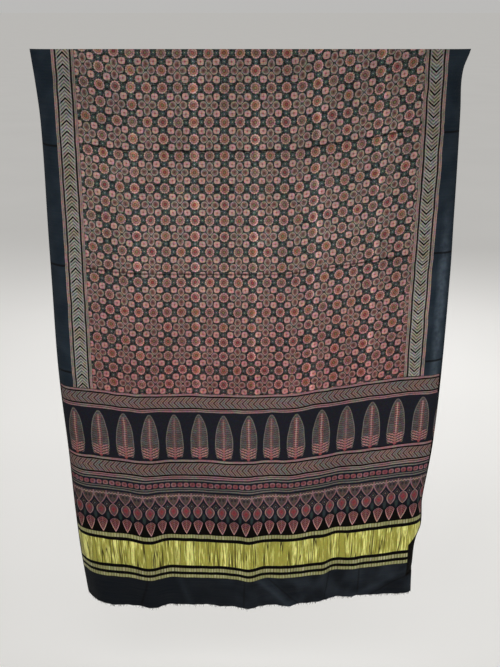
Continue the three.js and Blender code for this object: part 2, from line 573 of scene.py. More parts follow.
class Ink:
    """A value, place or colour that runs along a shader socket. Arithmetic on it adds Math nodes."""

    def __init__(self, vat: Vat, socket: bpy.types.NodeSocket) -> None:
        """Keeps the socket and the vat that it belongs to."""
        self.vat = vat
        self.socket = socket

    __add__, __radd__ = arithmetic("ADD"), arithmetic("ADD", reflected=True)
    __sub__, __rsub__ = arithmetic("SUBTRACT"), arithmetic("SUBTRACT", reflected=True)
    __mul__, __rmul__ = arithmetic("MULTIPLY"), arithmetic("MULTIPLY", reflected=True)
    __truediv__, __rtruediv__ = arithmetic("DIVIDE"), arithmetic("DIVIDE", reflected=True)
    __pow__, __rpow__ = arithmetic("POWER"), arithmetic("POWER", reflected=True)

    def __abs__(self) -> Ink:
        """Drops the sign."""
        return self.maths("ABSOLUTE")

    def maths(self, operation: str, *values: Number, clamped: bool = False) -> Ink:
        """Adds a Math node that takes this value first."""
        return self.vat.maths(operation, self, *values, clamped=clamped)

    def vector(self, operation: str, *values: Any) -> Ink:
        """Adds a Vector Math node that takes this place first."""
        sockets = dict(enumerate((self, *values)))
        return self.vat.node("ShaderNodeVectorMath", {"operation": operation}, sockets)

    def parts(self) -> list[Ink]:
        """Gives the three parts of a place."""
        first = self.vat.node("ShaderNodeSeparateXYZ", {}, {"Vector": self})
        return [Ink(self.vat, part) for part in first.socket.node.outputs]

    def past(self, edge: float, soft: float) -> Ink:
        """Gives 1 past an edge and 0 before it, and changes over a soft width."""
        return self.maths("MULTIPLY_ADD", 1.0 / soft, 0.5 - edge / soft, clamped=True)

    def within(self, edge: float, soft: float) -> Ink:
        """Gives 1 before an edge and 0 past it, and changes over a soft width."""
        return self.maths("MULTIPLY_ADD", -1.0 / soft, 0.5 + edge / soft, clamped=True)

    def stripe(self, low: float, high: float, soft: float) -> Ink:
        """Gives 1 between two edges and 0 beyond them, and changes over a soft width."""
        return abs(self - (low + high) / 2.0).within((high - low) / 2.0, soft)

    def share(self, start: float, long: float) -> Ink:
        """Gives how much of a length lies behind, from 0 at its start to 1 at its end."""
        return (self - start).maths("DIVIDE", long, clamped=True)

    def sawtooth(self) -> Ink:
        """Rises from 0 to 1 within each whole number."""
        return self.maths("FRACT")

    def wave(self) -> Ink:
        """Gives the cosine."""
        return self.maths("COSINE")

    def repeat(self, pitch: float) -> tuple[Ink, Ink]:
        """Repeats a motif along a line, on which this is the distance from the middle of one.

        Args:
            pitch: The distance from motif to motif.

        Returns:
            The motif's number, and the distance from its middle.
        """
        count = self / pitch
        number = count.maths("ROUND")
        return number, (count - number) * pitch

    def length(self, down: Ink) -> Ink:
        """Gives the distance from a motif's middle, of which this is the part across."""
        return self.maths("MULTIPLY_ADD", self, down * down).maths("SQRT")

    def mottle(self, size: float, detail: float = 1.0, output: str = "Fac") -> Ink:
        """Gives an uneven value of about 0.3 to 0.7, or such a colour, in patches of one size."""
        sockets = {"Vector": self, "Scale": 1.0 / size, "Detail": detail}
        return self.vat.node("ShaderNodeTexNoise", {}, sockets, output)

    def bump(self, strength: float, distance: float) -> Ink:
        """Takes this as a height, and gives the way in which the surface faces."""
        sockets = {"Height": self, "Strength": strength, "Distance": distance}
        return self.vat.node("ShaderNodeBump", {}, sockets, "Normal")


class Vat:
    """A material and its nodes."""

    def __init__(self, name: str) -> None:
        """Starts a material whose tree has only its output.

        Args:
            name: The material's name.
        """
        self.material = bpy.data.materials.new(name)
        self.material.use_nodes = True
        self.tree = self.material.node_tree
        self.end = self.tree.get_output_node("ALL")
        for node in list(self.tree.nodes):
            if node != self.end:
                self.tree.nodes.remove(node)

    def node(
        self, kind: str, settings: dict[str, Any], sockets: Sockets, output: Union[str, int] = 0
    ) -> Ink:
        """Adds a node.

        Args:
            kind: The node's type.
            settings: What is set on the node itself, first.
            sockets: Values, dyes or links for its inputs.
            output: The output to go on from.

        Returns:
            That output.
        """
        made = self.tree.nodes.new(kind)
        for name, value in settings.items():
            setattr(made, name, value)
        for name, value in sockets.items():
            if isinstance(value, Ink):
                self.tree.links.new(value.socket, made.inputs[name])
            else:
                made.inputs[name].default_value = value.linear() if isinstance(value, Dye) else value
        return Ink(self, made.outputs[output])

    def maths(self, operation: str, *values: Number, clamped: bool = False) -> Ink:
        """Adds a Math node, whose result may be kept within 0 and 1."""
        settings = {"operation": operation, "use_clamp": clamped}
        return self.node("ShaderNodeMath", settings, dict(enumerate(values)))

    def mix(self, cover: Number, under: Colour, colour: Colour, blend: str = "MIX") -> Ink:
        """Mixes a colour into another, as far as the cover says."""
        settings = {"data_type": "RGBA", "blend_type": blend}
        return self.node("ShaderNodeMix", settings, {0: cover, 6: under, 7: colour}, 2)

    def chance(self, dimensions: str, sockets: Sockets) -> Ink:
        """Gives each motif a number of its own, of 0 to 1."""
        return self.node("ShaderNodeTexWhiteNoise", {"noise_dimensions": dimensions}, sockets, "Value")

    def finished(self, sockets: Sockets) -> bpy.types.Material:
        """Ends the tree with a shader that has these values.

        Args:
            sockets: Values or links for the shader's inputs.

        Returns:
            The material.
        """
        shader = self.node("ShaderNodeBsdfPrincipled", {}, sockets, "BSDF")
        self.tree.links.new(shader.socket, self.end.inputs["Surface"])
        return self.material


def layers(under: Colour, *coats: tuple[Ink, Colour]) -> Colour:
    """Prints coats of colour one over the other.

    Args:
        under: The colour below them.
        coats: For each coat, how far it covers, and its colour.

    Returns:
        The colour.
    """
    for cover, colour in coats:
        under = cover.vat.mix(cover, under, colour)
    return under


def shaded(colour: Colour, light: Colour) -> Ink:
    """Multiplies a colour by a lightness or a tint, of which one at least is an ink."""
    vat = light.vat if isinstance(light, Ink) else colour.vat
    return vat.mix(1.0, colour, light, "MULTIPLY")


@dataclass(frozen=True)
class Place:
    """Where a shader is on the flat cloth: the whole place, across, down and which side."""

    flat: Ink
    across: Ink
    down: Ink
    side: Ink

    def patches(self, size: float, edge: float, soft: float) -> Ink:
        """Gives soft patches of a size, which are larger for a lower edge."""
        return self.flat.mottle(size).past(edge, soft)

    def streaks(self, across: float, down: float, detail: float) -> Ink:
        """Gives an uneven value that changes across and down at rates of its own."""
        return self.flat.vector("MULTIPLY", (across, down, 0.0)).mottle(1.0, detail)

    def bound(self, colour: Colour) -> Colour:
        """Leaves the selvedges black."""
        return layers(colour, (abs(self.across).past(SELVEDGE, 1.5), Dye.BLACK))


@dataclass(frozen=True)
class ClothFinish:
    """Soft cotton with its weave, uneven dye and a fainter back, which each zone prints in its own way."""

    name: str
    roughness: float = 0.8
    sheen: float = 0.004
    thread: float = 0.9
    wander: float = 4.0
    grain: float = 1.5
    gloss: float = 0.03
    back_fades: float = 0.55
    bump_strength: float = 0.45
    bump_height: float = 0.0005

    def place(self, vat: Vat) -> Place:
        """Finds the place on the flat cloth, with the small wandering of a hand-set block.

        Args:
            vat: The material's nodes.

        Returns:
            The place.
        """
        flat = vat.node("ShaderNodeAttribute", {"attribute_name": FLAT_PLACE}, {}, "Vector")
        centred = flat.mottle(45.0, output="Color").vector("SUBTRACT", (0.5, 0.5, 0.5))
        reach = (self.wander, self.wander, 0.0)
        return Place(flat, *centred.vector("MULTIPLY_ADD", reach, flat).parts())

    def printed(self, place: Place) -> Colour:
        """Prints the zone, which each finish does in its own way."""
        raise NotImplementedError

    def surface(self, place: Place, light: Ink) -> Sockets:
        """Gives the shader's values other than its colour.

        Args:
            place: The place on the cloth.
            light: The unevenness of the dye.

        Returns:
            Values for the shader's inputs.
        """
        height = place.flat.mottle(9.0, 3.0).maths("MULTIPLY_ADD", 3.0, self.threads(place) * 0.35)
        bump = height.bump(self.bump_strength, self.bump_height)
        return {"Roughness": light * 0.2 + (self.roughness - 0.1), "Normal": bump}

    def threads(self, place: Place) -> Ink:
        """Gives the height of the weave.

        Args:
            place: The place on the cloth.

        Returns:
            Heights of -1 to 1.
        """
        turn = 2.0 * math.pi / self.thread
        across, down, _ = place.flat.parts()
        return (across * turn).maths("SINE") * (down * turn).maths("SINE")

    def make(self) -> bpy.types.Material:
        """Makes the material.

        Returns:
            The material.
        """
        vat = Vat(self.name)
        place = self.place(vat)
        colour = self.printed(place)
        light = place.flat.mottle(130.0)
        colour = shaded(colour, light * 0.5 + 0.75)
        share, rest = (self.grain,) * 3, (1.0 - self.grain / 2.0,) * 3
        tint = place.flat.mottle(3.2, 2.0, "Color").vector("MULTIPLY_ADD", share, rest)
        behind = place.side.within(0.0, 0.5) * self.back_fades
        colour = layers(shaded(colour, tint), (behind, Dye.BACK))
        sockets = {"Base Color": colour, "Specular IOR Level": self.gloss, "Sheen Weight": self.sheen}
        return vat.finished({**sockets, **self.surface(place, light)})


@dataclass(frozen=True)
class FieldPrint(ClothFinish):
    """The field: rosettes on a half-pitch lattice, leaves about dark crosses, and pink squares."""

    half_across: float = 32.3
    half_down: float = 34.57
    first_across: float = 10.9
    first_down: float = 41.2
    bowed_from: float = 190.0
    bow: float = 0.0004
    fan_across: float = -311.0
    fan_down: float = 145.0
    fanned: float = 0.0000227
    rosette: float = 11.0
    petals: float = 12.0
    square: float = 6.7
    oval: tuple[float, float] = (7.2, 9.6)
    oval_from_cross: float = 11.8
    round: float = 8.0
    round_from_cross: float = 11.0
    upright_creases: tuple[float, float] = (15.0, 131.0)
    cross_creases: tuple[float, float] = (204.0, 268.0)
    creased_until: float = 600.0
    end_tint: tuple[float, ...] = (0.83, 0.61, 0.65, 1.0)

    def printed(self, place: Place) -> Colour:
        """Prints the field.

        Args:
            place: The place on the cloth.

        Returns:
            The colour.
        """
        past_bow = (place.across - self.bowed_from).maths("MAXIMUM", 0.0)
        bowed = (past_bow * past_bow).maths("MULTIPLY_ADD", self.bow, place.down)
        fan = (place.across - self.fan_across) * (place.down - self.fan_down) * self.fanned
        column, from_column = (fan + place.across - self.first_across).repeat(self.half_across)
        row, from_row = (bowed - self.first_down).repeat(self.half_down)
        near_x, near_y = abs(from_column), abs(from_row)
        half_x, half_y = self.half_across / 2.0 - near_x, self.half_down / 2.0 - near_y
        odd_column, full_row = column.maths("FLOORED_MODULO", 2.0), row.maths("FLOORED_MODULO", 2.0)
        tone, fleck = place.patches(12.0, 0.5, 0.3), place.patches(4.2, 0.53, 0.16)

        upright_eye = near_x.length(half_y) + odd_column * FAR
        eye = upright_eye.maths("MINIMUM", half_x.length(near_y) + (1.0 - full_row) * FAR)
        colour = layers(
            self.ground(place),
            (eye.within(5.6, 1.2) * 0.8, Dye.GROUND),
            (eye.stripe(2.6, 4.4, 0.9) * 0.6, Dye.EYE_TEAL),
            (eye.within(1.5, 0.9) * 0.8, Dye.SPECK),
        )
        oval_y = near_y * (1.0 - 2.0 * full_row) + (full_row * self.half_down - self.oval_from_cross)
        round_start = self.half_across - self.round_from_cross
        round_x = near_x * (2.0 * odd_column - 1.0) + (round_start - odd_column * self.half_across)
        oval = (near_x / self.oval[0]).length(oval_y / self.oval[1]) + (1.0 - odd_column) * FAR
        small_round = (round_x / self.round).length(near_y / self.round) + full_row * FAR
        apart = abs(oval - small_round).within(0.1, 0.16) * 0.6
        colour = self.small_leaves(colour, oval.maths("MINIMUM", small_round) + apart, tone, fleck)
        colour = self.pink_squares(colour, half_x, half_y, tone, fleck)

        number = column.vat.node("ShaderNodeCombineXYZ", {}, {"X": column, "Y": row})
        chance = column.vat.chance("2D", {"Vector": number})
        out = (near_x * 1.08).length(near_y) + odd_column * (1.0 - full_row) * FAR
        petals = (near_y.maths("ARCTAN2", near_x) * self.petals).wave()
        return self.crease_shading_and_end_tint(self.rosettes(colour, out, petals, chance, fleck), place)

    def crease_shading_and_end_tint(self, colour: Colour, place: Place) -> Colour:
        """Paints a highlight along the upright creases and shade in the cross ones, and tints the end darker
        and redder.

        Args:
            colour: The colour below.
            place: The place on the cloth.

        Returns:
            The colour.
        """
        patches = place.patches(26.0, 0.48, 0.3)
        # painted highlight along the upright packing creases, in patches
        _, beside = (place.across - self.upright_creases[0]).repeat(self.upright_creases[1])
        colour = shaded(colour, abs(beside).within(5.0, 6.0) * patches * 0.7 + 1.0)
        # painted shade in the cross packing creases, above the lower field
        _, off = (place.down - self.cross_creases[0]).repeat(self.cross_creases[1])
        dark = abs(off).within(2.0, 2.6) * (1.0 - patches * 0.5) * place.down.within(self.creased_until, 9.0)
        colour = layers(colour, (dark * 0.9, Dye.BLACK))
        return layers(colour, (place.down.past(560.0, 360.0), shaded(colour, self.end_tint)))

    def ground(self, place: Place) -> Colour:
        """Prints the dark ground with its rows of fine specks.

        Args:
            place: The place on the cloth.

        Returns:
            The colour.
        """
        along, against = place.across + place.down, place.across - place.down
        specks = ((along * 1.05).wave() * (against * 1.05).wave()).past(0.35, 0.5)
        fleck = layers(Dye.TEAL, (place.patches(7.0, 0.5, 0.2), Dye.SPECK))
        return layers(Dye.GROUND, (specks * 0.8, fleck))

    def small_leaves(self, colour: Colour, leaf: Ink, tone: Ink, fleck: Ink) -> Colour:
        """Prints the rounds and ovals that stand about each dark cross.

        Args:
            colour: The colour below.
            leaf: The distance from a leaf's middle, 1 at its edge.
            tone: The uneven tone of the dye.
            fleck: The finer flecks of the dye.

        Returns:
            The colour.
        """
        rim = layers(Dye.GREY_GREEN, (tone * 0.6, Dye.DUSTY_PINK), (fleck * 0.2, Dye.CREAM))
        fill = layers(Dye.UMBER, (tone * 0.7, Dye.MADDER), (fleck * 0.35, Dye.DUSTY_PINK))
        core = leaf.within(0.3, 0.16) * 0.6
        colour = layers(colour, (leaf.within(1.0, 0.14), rim), (leaf.within(0.66, 0.16), fill))
        return layers(colour, (core, Dye.DARK_RED))

    def pink_squares(self, colour: Colour, across: Ink, down: Ink, tone: Ink, fleck: Ink) -> Colour:
        """Prints the pink squares with their red middles.

        Args:
            colour: The colour below.
            across: The distance across from a square's middle.
            down: The distance down from it.
            tone: The uneven tone of the dye.
            fleck: The finer flecks of the dye.

        Returns:
            The colour.
        """
        square = (across * across * across + down * down * down) ** (1.0 / 3.0)
        fill = layers(Dye.DUSTY_PINK, (tone, Dye.PINK), (fleck * 0.3, Dye.CREAM))
        seam = across.maths("MINIMUM", down).within(0.5, 0.5) * square.within(self.square - 1.2, 0.8)
        colour = layers(colour, (square.within(self.square, 0.8), fill), (seam * 0.45, Dye.MADDER))
        return layers(colour, (square.within(1.9, 1.0) * 0.8, Dye.RED))

    def rosettes(self, colour: Colour, out: Ink, petals: Ink, chance: Ink, fleck: Ink) -> Colour:
        """Prints the large rosettes, each in a tone of its own.

        Args:
            colour: The colour below.
            out: The distance from a rosette's middle.
            petals: The wave of its petals, of -1 to 1.
            chance: The rosette's own number, of 0 to 1.
            fleck: The finer flecks of the dye.

        Returns:
            The colour.
        """
        ring = layers(Dye.DUSTY_PINK, (chance.past(0.5, 0.8), Dye.PINK), (fleck * 0.3, Dye.CREAM))
        gaps = petals.within(-0.5, 0.4) * out.stripe(9.0, 11.0, 0.6)
        colour = layers(
            colour,
            ((out - petals * 0.36).within(self.rosette, 0.8), ring),
            (gaps * 0.4, Dye.DARK_RED),
            (out.within(8.2, 1.0) * 0.75, Dye.DARK_RED),
        )
        fill = layers(
            Dye.UMBER,
            ((chance * 7.0).sawtooth().past(0.5, 0.8), Dye.MADDER),
            ((chance * 31.0).sawtooth().past(0.62, 0.3), Dye.RUST),
            (fleck * 0.45, Dye.DUSTY_PINK),
        )
        beads = out.stripe(4.7, 6.1, 0.7) * petals.past(0.0, 0.6)
        middle = layers(Dye.OLIVE, (chance.past(0.6, 0.3), Dye.RED))
        return layers(
            colour,
            (out.within(7.3, 1.0), fill),
            (beads * 0.65, Dye.DUSTY_PINK),
            (out.within(3.9, 0.8) * 0.8, Dye.DARK_RED),
            (out.within(2.6, 0.8), middle),
        )


@dataclass(frozen=True)
class ChevronPrint(ClothFinish):
    """A stripe of chevrons between lines, which the borders lay upright and the bands lay across."""

    rise: float = 0.98
    pitch: float = 22.6
    lines: float = 3.0
    fills: tuple[Dye, Dye] = (Dye.BORDER_GREY, Dye.GREY_GREEN)
    mark: Dye = Dye.BLACK
    light: float = 0.3
    fine: float = 0.6
    main: float = 0.4
    margin: float = 2.6
    varied: float = 0.5
    starts: float = 361.0
    middle: float = 23.8
    half: float = 13.6
    edge_lines: tuple[tuple[float, float], ...] = ((0.6, 6.2), (41.2, 47.4))

    def chevrons(self, colour: Colour, along: Ink, below: Ink, place: Place) -> Colour:
        """Prints the chevrons.

        Args:
            colour: The colour below.
            along: The distance along the stripe.
            below: The distance from its upper or inner edge.
            place: The place on the cloth.

        Returns:
            The colour.
        """
        out = abs(below - self.middle)
        count = out.maths("MULTIPLY_ADD", -self.rise, along) / self.pitch
        step, fine = abs(count.sawtooth() - 0.5), abs((count * self.lines).sawtooth() - 0.5)
        tone = place.flat.mottle(34.0)
        fill = layers(
            self.fills[0],
            (tone.past(0.5, 0.16), self.fills[1]),
            (tone.past(0.54, 0.1) * self.varied, Dye.OLIVE),
            (tone.within(0.43, 0.1) * self.varied, Dye.EYE_TEAL),
            (fine.within(0.2, 0.2) * self.light, Dye.PALE_LINE),
            (fine.past(0.29, 0.16) * self.fine, Dye.DARK_LINE),
            (step.past(self.main, 0.06), self.mark),
            (out.past(self.half - self.margin, 1.2) * 0.6, self.fills[0]),
        )
        return layers(colour, (out.within(self.half, 0.8), fill))


@dataclass(frozen=True)
class SideBorderPrint(ChevronPrint):
    """The upright border beside the field: chevrons point up on the left and down on the right."""

    def printed(self, place: Place) -> Colour:
        """Prints the border.

        Args:
            place: The place on the cloth.

        Returns:
            The colour.
        """
        out = abs(place.across) - self.starts
        line = layers(Dye.DUSTY_PINK, (place.patches(30.0, 0.5, 0.2), Dye.GREY_GREEN))
        colour: Colour = Dye.GROUND
        for low, high in self.edge_lines:
            seam = (low + high) / 2.0
            dark = out.stripe(seam - 0.6, seam + 0.6, 0.7) * 0.6
            colour = layers(colour, (out.stripe(low, high, 0.8), line), (dark, Dye.LEAF_DARK))
        along = place.down * (1.0 - 2.0 * place.across.past(0.0, 1.0))
        return self.chevrons(colour, along, out, place)


@dataclass(frozen=True)
class BandPrint(ChevronPrint):
    """A band of chevrons across the cloth, its widths measured down from its upper edge."""

    pitch: float = 13.4
    lines: float = 2.0
    fills: tuple[Dye, Dye] = (Dye.BAND_GREY, Dye.BAND_PINK)
    mark: Dye = Dye.DARK_RED
    light: float = 0.1
    fine: float = 0.4
    main: float = 0.35
    margin: float = 1.4
    varied: float = 0.2
    starts: float = 757.0
    middle: float = 22.6
    half: float = 13.0
    edge_lines: tuple[tuple[float, float], ...] = ((1.4, 6.0), (39.4, 42.0), (43.4, 46.6))
    deep: float = 47.0
    drawn_deep: float = 47.0

    def printed(self, place: Place) -> Colour:
        """Prints the band.

        Args:
            place: The place on the cloth.

        Returns:
            The colour.
        """
        below = (place.down - self.starts) * (self.drawn_deep / self.deep)
        line = layers(Dye.GREY_GREEN, (place.patches(40.0, 0.42, 0.2), Dye.LINE_PINK))
        edges = [(below.stripe(low, high, 0.8), line) for low, high in self.edge_lines]
        return place.bound(self.chevrons(layers(Dye.BLACK, *edges), place.across, below, place))


@dataclass(frozen=True)
class TreePrint(ClothFinish):
    """The band of cypress trees, one on each pitch."""

    starts: float = 804.0
    pitch: float = 59.3
    first: float = 1.9
    tip: float = 5.0
    base: float = 115.5
    foot: float = 117.0
    half: float = 21.2
    widest: float = 0.7
    row: float = 5.6
    tier: float = 6.6
    scrolls_start: float = 0.77
    tuck: float = 5.0
    tuck_at: float = 34.0

    def printed(self, place: Place) -> Colour:
        """Prints the trees.

        Args:
            place: The place on the cloth.

        Returns:
            The colour.
        """
        below = place.down - self.starts
        tuck = place.across.past(self.tuck_at, self.tuck_at) * self.tuck
        number, from_stem = (place.across + tuck - self.first).repeat(self.pitch)
        out = abs(from_stem)
        rise = (below - self.tip) / (self.base - self.tip)
        tier = (out.maths("MULTIPLY_ADD", 0.42, below) / self.tier).sawtooth()
        inside = self.outline_room(rise, out, tier)
        whole = inside.past(0.0, 0.9) * rise.within(1.0, 0.012)

        vein = (out.maths("MULTIPLY_ADD", 0.22, below) / self.row).sawtooth()
        ticks = (out * 1.5).wave() * 0.14
        leaves = layers(Dye.LEAF_GREEN, (place.patches(15.0, 0.5, 0.3), Dye.LEAF_BROWN))
        broken = place.patches(5.0, 0.46, 0.2) * 0.45
        rows = (vein + ticks).stripe(0.26, 0.84, 0.3).maths("MAXIMUM", broken)
        strength = number.vat.chance("1D", {"W": number}) * 0.7 + 0.3
        fill = self.stem(layers(Dye.LEAF_DARK, (rows, leaves)), below, out, strength)
        fill = self.scrolls(fill, rise, out, tier)
        fill = layers(fill, (inside.within(1.8, 0.9) * 0.5, Dye.GREY_GREEN))
        foot = (out + abs(below - self.foot) * 0.8).within(4.4, 0.9)
        return layers(Dye.BAND_INDIGO, (foot, Dye.RED), (whole, fill))

    def stem(self, fill: Colour, below: Ink, out: Ink, strength: Ink) -> Colour:
        """Prints the beaded stem with its short red arms.

        Args:
            fill: The colour below.
            below: The distance below the band's upper edge.
            out: The distance from the stem.
            strength: How strongly this tree's stem is printed, of 0 to 1.

        Returns:
            The colour.
        """
        _, from_bead = below.repeat(self.row)
        low = below.past(16.0, 6.0) * strength
        arms = abs(from_bead).within(1.4, 1.0) * out.within(5.8, 1.6) * low
        beads = out.length(from_bead * 0.85).within(2.2, 0.8)
        fill = layers(fill, (out.within(5.0, 2.6) * low * 0.75, Dye.DARK_RED), (arms * 0.85, Dye.FROND))
        return layers(fill, (beads * low, Dye.DUSTY_PINK))

    def scrolls(self, fill: Colour, rise: Ink, out: Ink, tier: Ink) -> Colour:
        """Prints the tiers of red leaves at the foot of a tree.

        Args:
            fill: The colour below.
            rise: The share of the tree's height, from its tip.
            out: The distance from the stem.
            tier: The place within a tier, of 0 to 1.

        Returns:
            The colour.
        """
        cuts = (out * 0.9).wave() * 0.08
        tiers = layers(
            Dye.LEAF_DARK,
            ((tier + cuts).stripe(0.4, 0.95, 0.24), Dye.DUSTY_PINK),
            ((tier - cuts).stripe(0.6, 0.95, 0.2) * 0.9, Dye.FROND),
            (out.within(2.6, 1.6) * 0.7, Dye.FROND),
        )
        return layers(fill, (rise.past(self.scrolls_start, 0.03), tiers))

    def outline_room(self, rise: Ink, out: Ink, tier: Ink) -> Ink:
        """Measures how far a place lies inside a tree.

        Args:
            rise: The share of the tree's height, from its tip.
            out: The distance from the stem.
            tier: The place within a tier of leaves at its foot.

        Returns:
            The distance from the tree's edge, more inside.
        """
        up = 1.0 - rise.maths("DIVIDE", self.widest, clamped=True)
        spread = (1.0 - up * up) ** 0.64
        tuck = rise.past((1.0 + self.widest) / 2.0, 1.0 - self.widest)
        tips = rise.past(self.scrolls_start, 0.03) * (0.6 - tier) * 3.0
        return spread * self.half - tuck * tuck * 4.0 + tips - out - rise.within(0.0, 0.01) * FAR


@dataclass(frozen=True)
class DotPrint(ClothFinish):
    """The row of red blocks and the thin lines below it."""

    starts: float = 977.0
    pitch: float = 15.23
    middle: float = 16.4
    half: tuple[float, float] = (6.2, 5.6)
    thin_lines: tuple[tuple[float, float, float], ...] = ((24.6, 27.2, 0.55), (30.2, 33.2, 0.65))

    def printed(self, place: Place) -> Colour:
        """Prints the blocks and lines.

        Args:
            place: The place on the cloth.

        Returns:
            The colour.
        """
        below = place.down - self.starts
        _, beside = place.across.repeat(self.pitch)
        wide, tall = abs(beside) / self.half[0], abs(below - self.middle) / self.half[1]
        block = (wide * wide * wide + tall * tall * tall) ** 0.333
        fill = layers(Dye.BLOCK_RED, (place.patches(18.0, 0.5, 0.25), Dye.LINE_PINK))
        colour = layers(
            Dye.BAND_INDIGO,
            (below.stripe(3.6, 6.2, 0.8) * 0.8, Dye.GREY_GREEN),
            (block.within(1.0, 0.2), fill),
            (block.within(0.62, 0.24) * 0.8, Dye.BLOCK_RED),
            (block.within(0.3, 0.24) * 0.7, Dye.DARK_RED),
        )
        for low, high, cover in self.thin_lines:
            colour = layers(colour, (below.stripe(low, high, 0.9) * cover, Dye.GREY_GREEN))
        return place.bound(colour)


@dataclass(frozen=True)
class PendantPrint(ClothFinish):
    """Hearts that narrow to a point over red leaves, with a row of pendants below."""

    starts: float = 1016.0
    pitch: float = 30.09
    first: float = -5.3
    meet: float = 34.0
    leaf_start: float = 35.0
    leaf_long: float = 32.0
    leaf_heart: float = 49.0
    pendant_start: float = 72.0
    pendant_long: float = 38.0
    pendant_head: float = 8.0
    pendant_half: float = 13.0

    def printed(self, place: Place) -> Colour:
        """Prints the hearts, leaves and pendants.

        Args:
            place: The place on the cloth.

        Returns:
            The colour.
        """
        below = place.down - self.starts
        _, beside = (place.across - self.first).repeat(self.pitch)
        out, tone = abs(beside), place.patches(22.0, 0.5, 0.3)
        colour = self.red_leaf(self.hearts(below, out, tone), below, out, tone)
        return place.bound(self.pendant(colour, below, out, tone))

    def hearts(self, below: Ink, out: Ink, tone: Ink) -> Colour:
        """Prints the hearts and the small diamonds between their points.

        Args:
            below: The distance below the band's upper edge.
            out: The distance from the line through the leaves.
            tone: The uneven tone of the dye.

        Returns:
            The colour.
        """
        half = self.pitch / 2.0
        room = half * (1.0 - below.maths("DIVIDE", self.meet, clamped=True) ** 2.4) - out
        upper = below.within(self.meet + 3.0, 1.0)
        fill = layers(Dye.UMBER, (tone, Dye.LEAF_BROWN))
        dots = abs(out - 4.2).length((below - 14.0) * 0.7)
        crown = (below + (out * 0.8).wave() * 1.2).stripe(4.6, 7.4, 1.0)
        colour = layers(
            Dye.BAND_INDIGO,
            (below.past(70.0, 36.0), Dye.BLACK),
            (room.past(0.0, 0.8) * upper * 0.75, fill),
            (dots.within(3.0, 1.2) * 0.7, Dye.BAND_INDIGO),
            (room.stripe(3.8, 5.2, 0.9) * upper * 0.55, Dye.DARK_RED),
            (crown * 0.75, Dye.DUSTY_PINK),
            (room.stripe(-1.4, 1.4, 0.9) * upper * 0.9, Dye.LINE_PINK),
        )
        between = half - out
        diamond = abs(below - self.leaf_start).maths("MULTIPLY_ADD", 0.8, between)
        glints = between.length((below - 66.0) * 0.4)
        return layers(
            colour,
            (diamond.stripe(5.6, 7.2, 0.9) * 0.6, Dye.UMBER),
            (diamond.within(2.4, 0.9) * 0.5, Dye.GREY_GREEN),
            (glints.within(3.8, 2.4) * 0.45, Dye.TEAL),
        )

    def red_leaf(self, colour: Colour, below: Ink, out: Ink, tone: Ink) -> Colour:
        """Prints a red leaf, round above and pointed below.

        Args:
            colour: The colour below.
            below: The distance below the band's upper edge.
            out: The distance from the leaf's middle line.
            tone: The uneven tone of the dye.

        Returns:
            The colour.
        """
        fall = below.share(self.leaf_start, self.leaf_long)
        room = fall**0.62 * (1.0 - fall) ** 0.8 * 30.0 - out
        heart = out + abs(below - self.leaf_heart) * 0.72
        fill = layers(
            Dye.LEAF_RED,
            (heart.within(6.4, 4.0), Dye.HEART_RED),
            (heart.within(2.0, 2.0) * 0.4, Dye.DARK_RED),
            (room.within(2.3, 1.0), layers(Dye.DUSTY_PINK, (tone, Dye.LINE_PINK))),
        )
        return layers(colour, (room.past(0.2, 0.7), fill))

    def pendant(self, colour: Colour, below: Ink, out: Ink, tone: Ink) -> Colour:
        """Prints a pendant, broad above and pointed below.

        Args:
            colour: The colour below.
            below: The distance below the band's upper edge.
            out: The distance from the pendant's middle line.
            tone: The uneven tone of the dye.

        Returns:
            The colour.
        """
        fall = below.share(self.pendant_start, self.pendant_long)
        head = below.share(self.pendant_start, self.pendant_head)
        room = (1.0 - fall**1.7) * head**0.6 * self.pendant_half - out
        vein = (out.maths("MULTIPLY_ADD", -0.8, below) / 6.0).sawtooth()
        fill = layers(
            Dye.DARK_RED,
            (vein.stripe(0.2, 0.86, 0.3), layers(Dye.MADDER, (tone, Dye.BLOCK_RED))),
            (out.within(0.9, 0.8) * 0.5, Dye.LINE_PINK),
            (room.within(2.1, 0.8), layers(Dye.LINE_PINK, (fall.past(0.4, 0.4), Dye.PINK))),
        )
        return layers(colour, (room.past(0.2, 0.7), fill))


